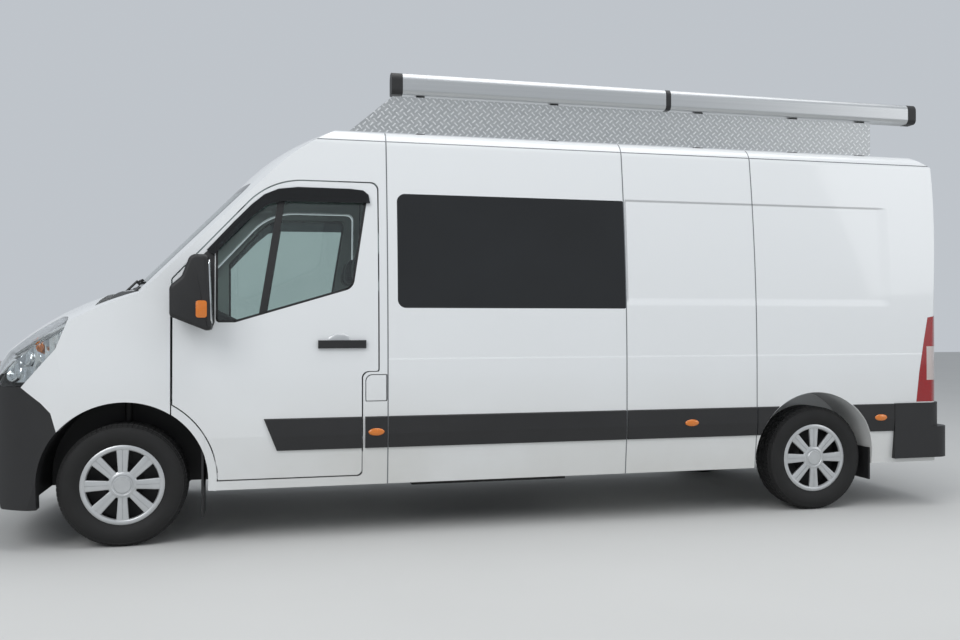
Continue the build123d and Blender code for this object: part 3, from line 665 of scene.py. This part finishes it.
leftBowls = joinPieces([lampBowl(place, radius) for place, radius in lampShape["bowls"]])
place, radius = lampShape["bulb"]
bpy.ops.mesh.primitive_uv_sphere_add(segments=24, ring_count=12, radius=radius, location=place)
bulb = bpy.context.object
bulb.scale = (1.0, 1.0, 1.25)
for made, name, slotName, finish in ((leftBowls, "headlampBowls", "headlamp_lens", chrome),
                                     (bulb, "amberBulbs", "amber_lens", None)):
    applyPlace(made)
    both = joinPieces([made, copyPiece(made, size=(1, -1, 1))])
    setMode("EDIT")
    turnOutwards()
    finishPiece(both, name, "van", slotName, 40.0, finish)
print("stage: headlamps made")


# Door mirrors: the glass and the repeater lamp on the housing
mirrorShape = {
    "glass": ((-1.7790, -1.2260, 1.2500), (-1.7720, -1.1080, 1.6050)), "glassCorner": 0.030, "glassLean": -2.05,
    "lamp": ((-1.850, -1.2395, 1.282), (-1.792, -1.2280, 1.376)), "lampCorner": 0.014,
}
for side, name in ((1, "left"), (-1, "right")):
    for kind, along, slotName, finish in (("glass", 0, "clear_glass", chrome), ("lamp", 1, "amber_lens", None)):
        low, high = mirrorShape[kind]
        if side < 0:
            low, high = (low[0], -high[1], low[2]), (high[0], -low[1], high[2])
        plate = roundedPlate(low, high, along, mirrorShape[kind + "Corner"])
        if kind == "glass":
            plate.rotation_euler.y = math.radians(mirrorShape["glassLean"])
        finishPiece(plate, "mirror%s_%s" % (kind.capitalize(), name), "front_door_" + name, slotName,
                    finish=finish)
print("stage: mirrors made")


# Mirror housing and moulding: the CAD trim with the mirror's outer face drawn in and rounded, and the
# moulding's front end cut on the slant
trimShape = {"drawIn": 0.007, "round": 0.022, "slantTop": (-1.494, 0.705), "slantFoot": (-1.420, 0.516)}
trim = copyNode("door_trim_left")
bpy.ops.mesh.dissolve_limited(angle_limit=math.radians(1.0))
pickFaces(trim, lambda face: face.center.z < 0.75)
(topX, topZ), (footX, footZ) = trimShape["slantTop"], trimShape["slantFoot"]
bpy.ops.mesh.bisect(plane_co=(topX, -1.04, topZ), plane_no=(topZ - footZ, 0, footX - topX), clear_inner=True,
                    use_fill=True)
pickFaces(trim, lambda face: face.normal.y < -0.95 and face.center.y < -1.235)
bpy.ops.transform.translate(value=(0, trimShape["drawIn"], 0))
bpy.ops.mesh.bevel(offset=trimShape["round"], segments=4, affect="EDGES")
leftTrim, rightTrim = bothSides(trim, "doorTrim", "black_plastic", 35.0)
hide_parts("door_trim_left")
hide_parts("door_trim_right")
print("stage: door trim made")


# Rubber seal round the door glass, from the glass's own outline
sealShape = {"width": 0.013, "proud": 0.0045}
seal = copyNode("door_glass_left")
pickFaces(seal, lambda face: face.normal.y > -0.7)
bpy.ops.mesh.delete(type="FACE")
pickAll()
bpy.ops.mesh.inset(thickness=sealShape["width"])
bpy.ops.mesh.delete(type="FACE")
pickAll()
extrudeBy((0, -sealShape["proud"], 0))
turnOutwards()
setMode("OBJECT")
bothSides(seal, "windowSeal", "black_plastic")
print("stage: window seals made")


# Grey dome above each cab door's handle, cut flat along the handle: silver paint as painted shade of the
# handle's recess
gripShape = {"place": (-1.068, -1.030, 1.149), "size": (0.070, 0.013, 0.043)}
bpy.ops.mesh.primitive_uv_sphere_add(segments=40, ring_count=20, radius=1.0, location=gripShape["place"])
dome = bpy.context.object
dome.scale = gripShape["size"]
bpy.ops.object.transform_apply(location=True, rotation=True, scale=True)
setMode("EDIT")
pickAll()
bpy.ops.mesh.bisect(plane_co=gripShape["place"], plane_no=(0, 0, 1), clear_inner=True, use_fill=True)
# the dome's grey silver paint is painted shade where the door is recessed behind the handle
bothSides(dome, "shadedHandleRecess", "cover_silver", 40.0)
print("stage: shaded handle recesses made")


# White band between the front arch and the door's curved edge, in mm and degrees
bandShape = {"centre": (-2245, 366), "inner": 449.5, "outer": 494, "frontX": -1993, "lowest": -8.0, "steps": 14,
             "sunk": 30, "thick": 30.4}
centreX, centreZ = bandShape["centre"]
bandEdges = []
for radius in (bandShape["inner"], bandShape["outer"]):
    first = math.degrees(math.acos((bandShape["frontX"] - centreX) / radius))
    turns = [math.radians(first + (bandShape["lowest"] - first) * step / bandShape["steps"])
             for step in range(bandShape["steps"] + 1)]
    bandEdges.append([(centreX + radius * math.cos(turn), centreZ + radius * math.sin(turn)) for turn in turns])
bandOutline = bandEdges[0] + bandEdges[1][::-1]
band = sidePlate(bandOutline, [-bandShape["sunk"]] * len(bandOutline), bandShape["thick"])
bothSides(band, "archBand", "body_paint", 30.0, ("van", "van"))
print("stage: arch bands made")


# Rubber strip at the windscreen's foot and two parked wipers, turned about the screen's own upright axis
screenShape = {
    "axis": 0.9, "foot": (-2.3107, 1.440), "along": (0.694, 0.720), "out": (-0.720, 0.694),
    "strip": (0.0, 0.024, -0.004, 0.006), "stripReach": 16.1, "blade": (0.075, 0.006, 0.003, 0.017),
    "wipers": ((-14.0, -2.5, -0.42), (1.0, 13.5, 0.42)),  # first and last angle, and the pivot's place across
    "armRadius": 0.007, "armLift": 0.014, "armBack": 0.045, "armZ": 1.425,
}
axisX = screenShape["axis"]
footX, footZ = screenShape["foot"]


def screenStrip(up, half, low, high, start, end):
    # bar lying along the windscreen, from one angle to another, between two heights off the glass
    corners = []
    for a, b in ((-half, low), (half, low), (half, high), (-half, high), (-half, low)):
        x = footX + (up + a) * screenShape["along"][0] + b * screenShape["out"][0]
        z = footZ + (up + a) * screenShape["along"][1] + b * screenShape["out"][1]
        corners.append((axisX - (axisX - x) * math.cos(math.radians(start)),
                        (axisX - x) * math.sin(math.radians(start)), z))
    strip = drawnPath(corners)
    bpy.ops.mesh.remove_doubles(threshold=mergeWithin)
    bpy.ops.mesh.spin(steps=24, angle=math.radians(end - start), center=(axisX, 0, 0), axis=(0, 0, 1))
    pickAll()
    bpy.ops.mesh.select_non_manifold(extend=False)
    bpy.ops.mesh.edge_face_add()
    turnOutwards(merged=True)
    setMode("OBJECT")
    return strip


def rodBetween(start, end, radius):
    # rod with stepped ends from point to point
    reach = Vector(end) - Vector(start)
    bpy.ops.mesh.primitive_cylinder_add(vertices=16, radius=radius, depth=reach.length,
                                        location=(Vector(start) + Vector(end)) / 2)
    rod = bpy.context.object
    rod.rotation_euler = reach.to_track_quat("Z", "Y").to_euler()
    pickFaces(rod, lambda face: abs(face.normal.z) > 0.9)
    bpy.ops.mesh.inset(thickness=radius * 0.3, depth=radius * 0.3)
    setMode("OBJECT")
    return rod


footStrip = screenStrip(*screenShape["strip"], -screenShape["stripReach"], screenShape["stripReach"])
finishPiece(footStrip, "screenFootStrip", "van", "black_plastic")
wipers = []
bladeUp, lift = screenShape["blade"][0], screenShape["armLift"]
for start, end, pivot in screenShape["wipers"]:
    wipers.append(screenStrip(*screenShape["blade"], start, end))
    middle = math.radians((start + end) / 2)
    reach = axisX - (footX + bladeUp * screenShape["along"][0])
    armHead = (axisX - reach * math.cos(middle) - lift, reach * math.sin(middle),
               footZ + bladeUp * screenShape["along"][1] + lift)
    base = math.asin((armHead[1] + pivot * 0.35) / 3.2)
    reach = axisX - (footX - screenShape["armBack"])
    armFoot = (axisX - reach * math.cos(base), reach * math.sin(base), screenShape["armZ"])
    wipers.append(rodBetween(armFoot, armHead, screenShape["armRadius"]))
finishPiece(joinPieces(wipers), "wiperBlades", "van", "black_plastic")
print("stage: foot strip and wipers made")


# Door window: smoked wind deflector, divider bar, corner panel behind the mirror
windowShape = {  # outlines seen from the side, mm
    "visor": [(-1806, 1668), (-1660, 1832), (-1560, 1938), (-1490, 1998), (-1410, 2034), (-1300, 2048),
              (-1000, 2047), (-925, 2040), (-893, 2015), (-885, 1962), (-1000, 1962), (-1400, 1958),
              (-1470, 1938), (-1560, 1862), (-1690, 1726), (-1765, 1640)],
    "visorProud": [3] * 9 + [16, 17, 17, 17, 17, 16, 14],
    "bar": [(-1412, 1975), (-1372, 1975), (-1478, 1322), (-1520, 1308)],
    "corner": [(-1988, 1470), (-1900, 1560), (-1812, 1655), (-1762, 1690), (-1762, 1258), (-1778, 1215),
               (-1984, 1300)],
}
bothSides(sidePlate(windowShape["visor"], windowShape["visorProud"], 4), "windDeflector", "smoked_acrylic")
bothSides(sidePlate(windowShape["bar"], [-4] * 4, 7), "windowBar", "black_plastic")
bothSides(sidePlate(windowShape["corner"], [-1] * 7, 5, 1.5), "mirrorCorner", "black_plastic")
print("stage: window pieces made")


# Amber marker lamps along the side mouldings
markerShape = {"along": (-0.853, 1.152, 2.531), "y": -1.0465, "z": 0.612, "size": (0.047, 0.010, 0.022)}
markers = []
for along in markerShape["along"]:
    bpy.ops.mesh.primitive_uv_sphere_add(segments=32, ring_count=16, radius=1.0,
                                         location=(along, markerShape["y"], markerShape["z"]))
    markers.append(bpy.context.object)
    markers[-1].scale = markerShape["size"]
bothSides(joinPieces(markers), "sideMarkers", "amber_lens", 40.0, ("van", "van"))
print("stage: side markers made")


# Rear door hinges: a leaf on the door, a leaf on the post and the knuckle between them
hingeShape = {"heights": (0.760, 1.590, 2.120), "pin": (3.040, -0.880), "radius": 0.012, "length": 0.085,
              "leaf": ((-0.075, -0.007, -0.038), (0.0, 0.007, 0.038)), "leafCorner": 0.012,
              "strap": ((-0.012, 0.0, -0.030), (0.006, 0.10, 0.030)), "strapCorner": 0.010}
knuckles = []
for height in hingeShape["heights"]:
    pinPlace = Vector(hingeShape["pin"] + (height,))
    bpy.ops.mesh.primitive_cylinder_add(vertices=24, radius=hingeShape["radius"], depth=hingeShape["length"],
                                        location=pinPlace)
    pin = bpy.context.object
    pickFaces(pin, lambda face: abs(face.normal.z) > 0.9)
    bpy.ops.mesh.bevel(offset=0.002, segments=2)
    setMode("OBJECT")
    knuckles.append(pin)
    for part, along in (("leaf", 1), ("strap", 0)):
        low, high = [pinPlace + Vector(corner) for corner in hingeShape[part]]
        knuckles.append(roundedPlate(low, high, along, hingeShape[part + "Corner"]))
bothSides(joinPieces(knuckles), "rearHinges", "body_paint", 35.0,
          ("rear_door_left", "rear_door_right"))
print("stage: rear hinges made")


# Rivets that hold the tread plate to the roof's brackets
rivetShape = {"radius": 0.007, "height": 0.0028, "face": -0.8342, "places": [  # along the roof and up, mm
    (-721, 2630), (-721, 2608), (-560, 2606), (-560, 2470), (-243, 2606), (-243, 2466), (204, 2614),
    (204, 2594), (190, 2464), (640, 2606), (640, 2466), (1080, 2606), (1080, 2466), (1520, 2606),
    (1520, 2466), (1960, 2606), (1960, 2466), (2400, 2606), (2400, 2466)]}
firstX, firstZ = rivetShape["places"][0]
rivetPlace = (firstX / 1000, rivetShape["face"], firstZ / 1000)
bpy.ops.mesh.primitive_uv_sphere_add(segments=14, ring_count=8, radius=rivetShape["radius"],
                                     location=rivetPlace)
rivet = bpy.context.object
rivet.scale = (1.0, rivetShape["height"] / rivetShape["radius"], 1.0)
setMode("EDIT")
pickAll()
bpy.ops.mesh.bisect(plane_co=rivetPlace, plane_no=(0, 1, 0), clear_outer=True, use_fill=True)
setMode("OBJECT")
rivets = [copyPiece(rivet, ((x - firstX) / 1000, 0, (z - firstZ) / 1000)) for x, z in rivetShape["places"][1:]]
finishPiece(joinPieces([rivet] + rivets), "skirtRivets", "van", "awning_metal")
print("stage: rivets made")


# Seats: pedestals, and cushions blown up by a cloth simulation
seatShape = {
    "pedestals": [((-1.56, -0.65, 0.640), (-1.15, -0.23, 0.80)), ((-1.56, 0.10, 0.640), (-1.15, 0.72, 0.80))],
    "bases": [((-1.605, -0.670, 0.795), (-1.115, -0.210, 0.900)),
              ((-1.605, 0.080, 0.795), (-1.115, 0.740, 0.900))],
    "backs": [((-1.075, -0.670, 0.0), (-0.985, -0.210, 0.62)), ((-1.075, 0.080, 0.0), (-0.985, 0.740, 0.62))],
    "heads": [((-1.055, -0.560, 0.665), (-0.975, -0.320, 0.835)),
              ((-1.055, 0.150, 0.665), (-0.975, 0.370, 0.835)),
              ((-1.055, 0.450, 0.665), (-0.975, 0.670, 0.835))],
    "backLean": 9.0, "backFoot": (-1.03, 0.0, 0.875), "edge": 0.028,
    "channels": (-0.56, -0.32, 0.19, 0.41, 0.63), "channelReach": 0.02, "channelHalf": 0.007,
    "channelDepth": 0.008,
    "voxel": 0.011, "pressure": 4.0, "quality": 5, "frames": 20, "mostSwell": 0.022, "fill": 0.75,
}


def paddedBlocks(name, boxes, leaning, channels):
    # closed cushions from boxes, swelled by the cloth solver, with sewn channels pressed in afterwards
    made = []
    for low, high in boxes:
        bpy.ops.mesh.primitive_cube_add(size=1.0, location=[(a + b) / 2 for a, b in zip(low, high)])
        block = bpy.context.object
        block.scale = [b - a for a, b in zip(low, high)]
        bpy.ops.object.transform_apply(location=False, rotation=False, scale=True)
        pickEdges(block, lambda a, b: True)
        bpy.ops.mesh.bevel(offset=seatShape["edge"], segments=4)
        setMode("OBJECT")
        made.append(block)
    cushion = joinPieces(made)
    if leaning:
        foot = Vector(seatShape["backFoot"])
        cushion.rotation_euler.y = math.radians(seatShape["backLean"])
        bpy.context.view_layer.update()
        cushion.location = foot + cushion.matrix_world.to_3x3() @ Vector((-foot.x, 0, 0))
        bpy.ops.object.transform_apply(location=True, rotation=True, scale=True)
    remesh = cushion.modifiers.new("evenMesh", "REMESH")
    remesh.mode = "VOXEL"
    remesh.voxel_size = seatShape["voxel"]
    bpy.ops.object.modifier_apply(modifier=remesh.name)
    before = [v.co.copy() for v in cushion.data.vertices]
    cloth = cushion.modifiers.new("swell", "CLOTH")
    cloth.settings.use_pressure = True
    cloth.settings.uniform_pressure_force = seatShape["pressure"]
    cloth.settings.effector_weights.gravity = 0.0
    cloth.settings.quality = seatShape["quality"]
    for step in range(1, seatShape["frames"] + 1):
        bpy.context.scene.frame_set(step)
    bpy.ops.object.modifier_apply(modifier=cloth.name)
    bpy.context.scene.frame_set(1)
    for point, start in zip(cushion.data.vertices, before):
        moved = point.co - start
        if moved.length > seatShape["mostSwell"]:
            point.co = start + moved.normalized() * seatShape["mostSwell"]
    finer = cushion.modifiers.new("finer", "SUBSURF")
    finer.levels = finer.render_levels = 1
    bpy.ops.object.modifier_apply(modifier=finer.name)
    outward = [v.normal.copy() for v in cushion.data.vertices]  # read first: a moved point spoils them
    for point, normal in zip(cushion.data.vertices, outward):
        near = min([abs(point.co.y - across) for across in channels] or [1.0])
        if near < seatShape["channelReach"]:
            hollow = math.exp(-(near / seatShape["channelHalf"]) ** 2)
            point.co = point.co - normal * (seatShape["channelDepth"] * hollow * (1.0 - abs(normal.y)))
    finishPiece(cushion, name, "van", "seat_fabric", 60.0)
    return cushion


seatBases = paddedBlocks("seatCushions", seatShape["bases"], False, seatShape["channels"])
paddedBlocks("seatBacks", seatShape["backs"], True, seatShape["channels"])
paddedBlocks("headrests", seatShape["heads"], True, ())
plinths = [roundedPlate(low, high, 2, 0.03, 0.006) for low, high in seatShape["pedestals"]]
finishPiece(joinPieces(plinths), "seatPedestals", "van", "dash_plastic")
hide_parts("seats")
print("stage: seats made")


# Floor, light and camera
bpy.ops.mesh.primitive_plane_add(size=60, location=(0, 0, 0))
floor = bpy.context.object
floor.name = "studioFloor"
floorPaint, floorTree, floorShader, floorPlace = newMaterial("paleStudioFloor", {"Roughness": 0.85})  # matt
floorCloud = addNode(floorTree, "TexNoise", {"Scale": 0.8, "Detail": 3.0}, {"Vector": floorPlace})
floorColour = addNode(floorTree, "Mix", colourRange("#C2C2C0", "#C8C8C6"), {0: floorCloud.outputs["Fac"]})
linkLook(floorTree, floorShader, floorColour)
floor.data.materials.append(floorPaint)

world = bpy.data.worlds.new("studioRoom")
bpy.context.scene.world = world
world.use_nodes = True
background = world.node_tree.nodes["Background"].inputs
background["Color"].default_value = linearColour("#DDE3EA")
background["Strength"].default_value = 0.72

lightTable = [
    # name, place, aim, size, power
    ("keyLight", (-8.0, -9.0, 9.0), (0, 0, 1.0), 7.0, 620.0),
    ("overheadLight", (1.0, -1.0, 9.0), (0, 0, 1.0), 8.0, 420.0),
    ("fillLight", (9.0, -7.0, 5.0), (0, 0, 1.2), 5.0, 130.0),
]
for name, place, aim, size, power in lightTable:
    bpy.ops.object.light_add(type="AREA", location=place)
    light = bpy.context.object
    light.name = name
    light.data.size = size
    light.data.energy = power
    light.rotation_euler = (Vector(aim) - Vector(place)).to_track_quat("-Z", "Y").to_euler()

cameraFit = {  # matched to the photograph's frame, in pixels and degrees
    "place": (-1.46675, -6.99289, 1.25111), "yaw": 15.02, "pitch": 0.178, "roll": 0.04,
    "frame": (960.0, 640.0), "focal": 1003.1, "centre": (537.7, 320.0), "sensor": 36.0,
}
frameWidth, frameHeight = cameraFit["frame"]
bpy.ops.object.camera_add(location=cameraFit["place"])
camera = bpy.context.object
camera.name = "photoCamera"
camera.data.sensor_width = cameraFit["sensor"]
camera.data.lens = cameraFit["focal"] * cameraFit["sensor"] / frameWidth
camera.data.shift_x = (frameWidth / 2 - cameraFit["centre"][0]) / frameWidth
camera.data.shift_y = (cameraFit["centre"][1] - frameHeight / 2) / frameWidth
camera.rotation_euler = (math.radians(90.0 + cameraFit["pitch"]), math.radians(cameraFit["roll"]),
                         math.radians(-cameraFit["yaw"]))
bpy.context.scene.camera = camera
bpy.context.scene.view_settings.view_transform = "Standard"
print("stage: floor, light and camera set")
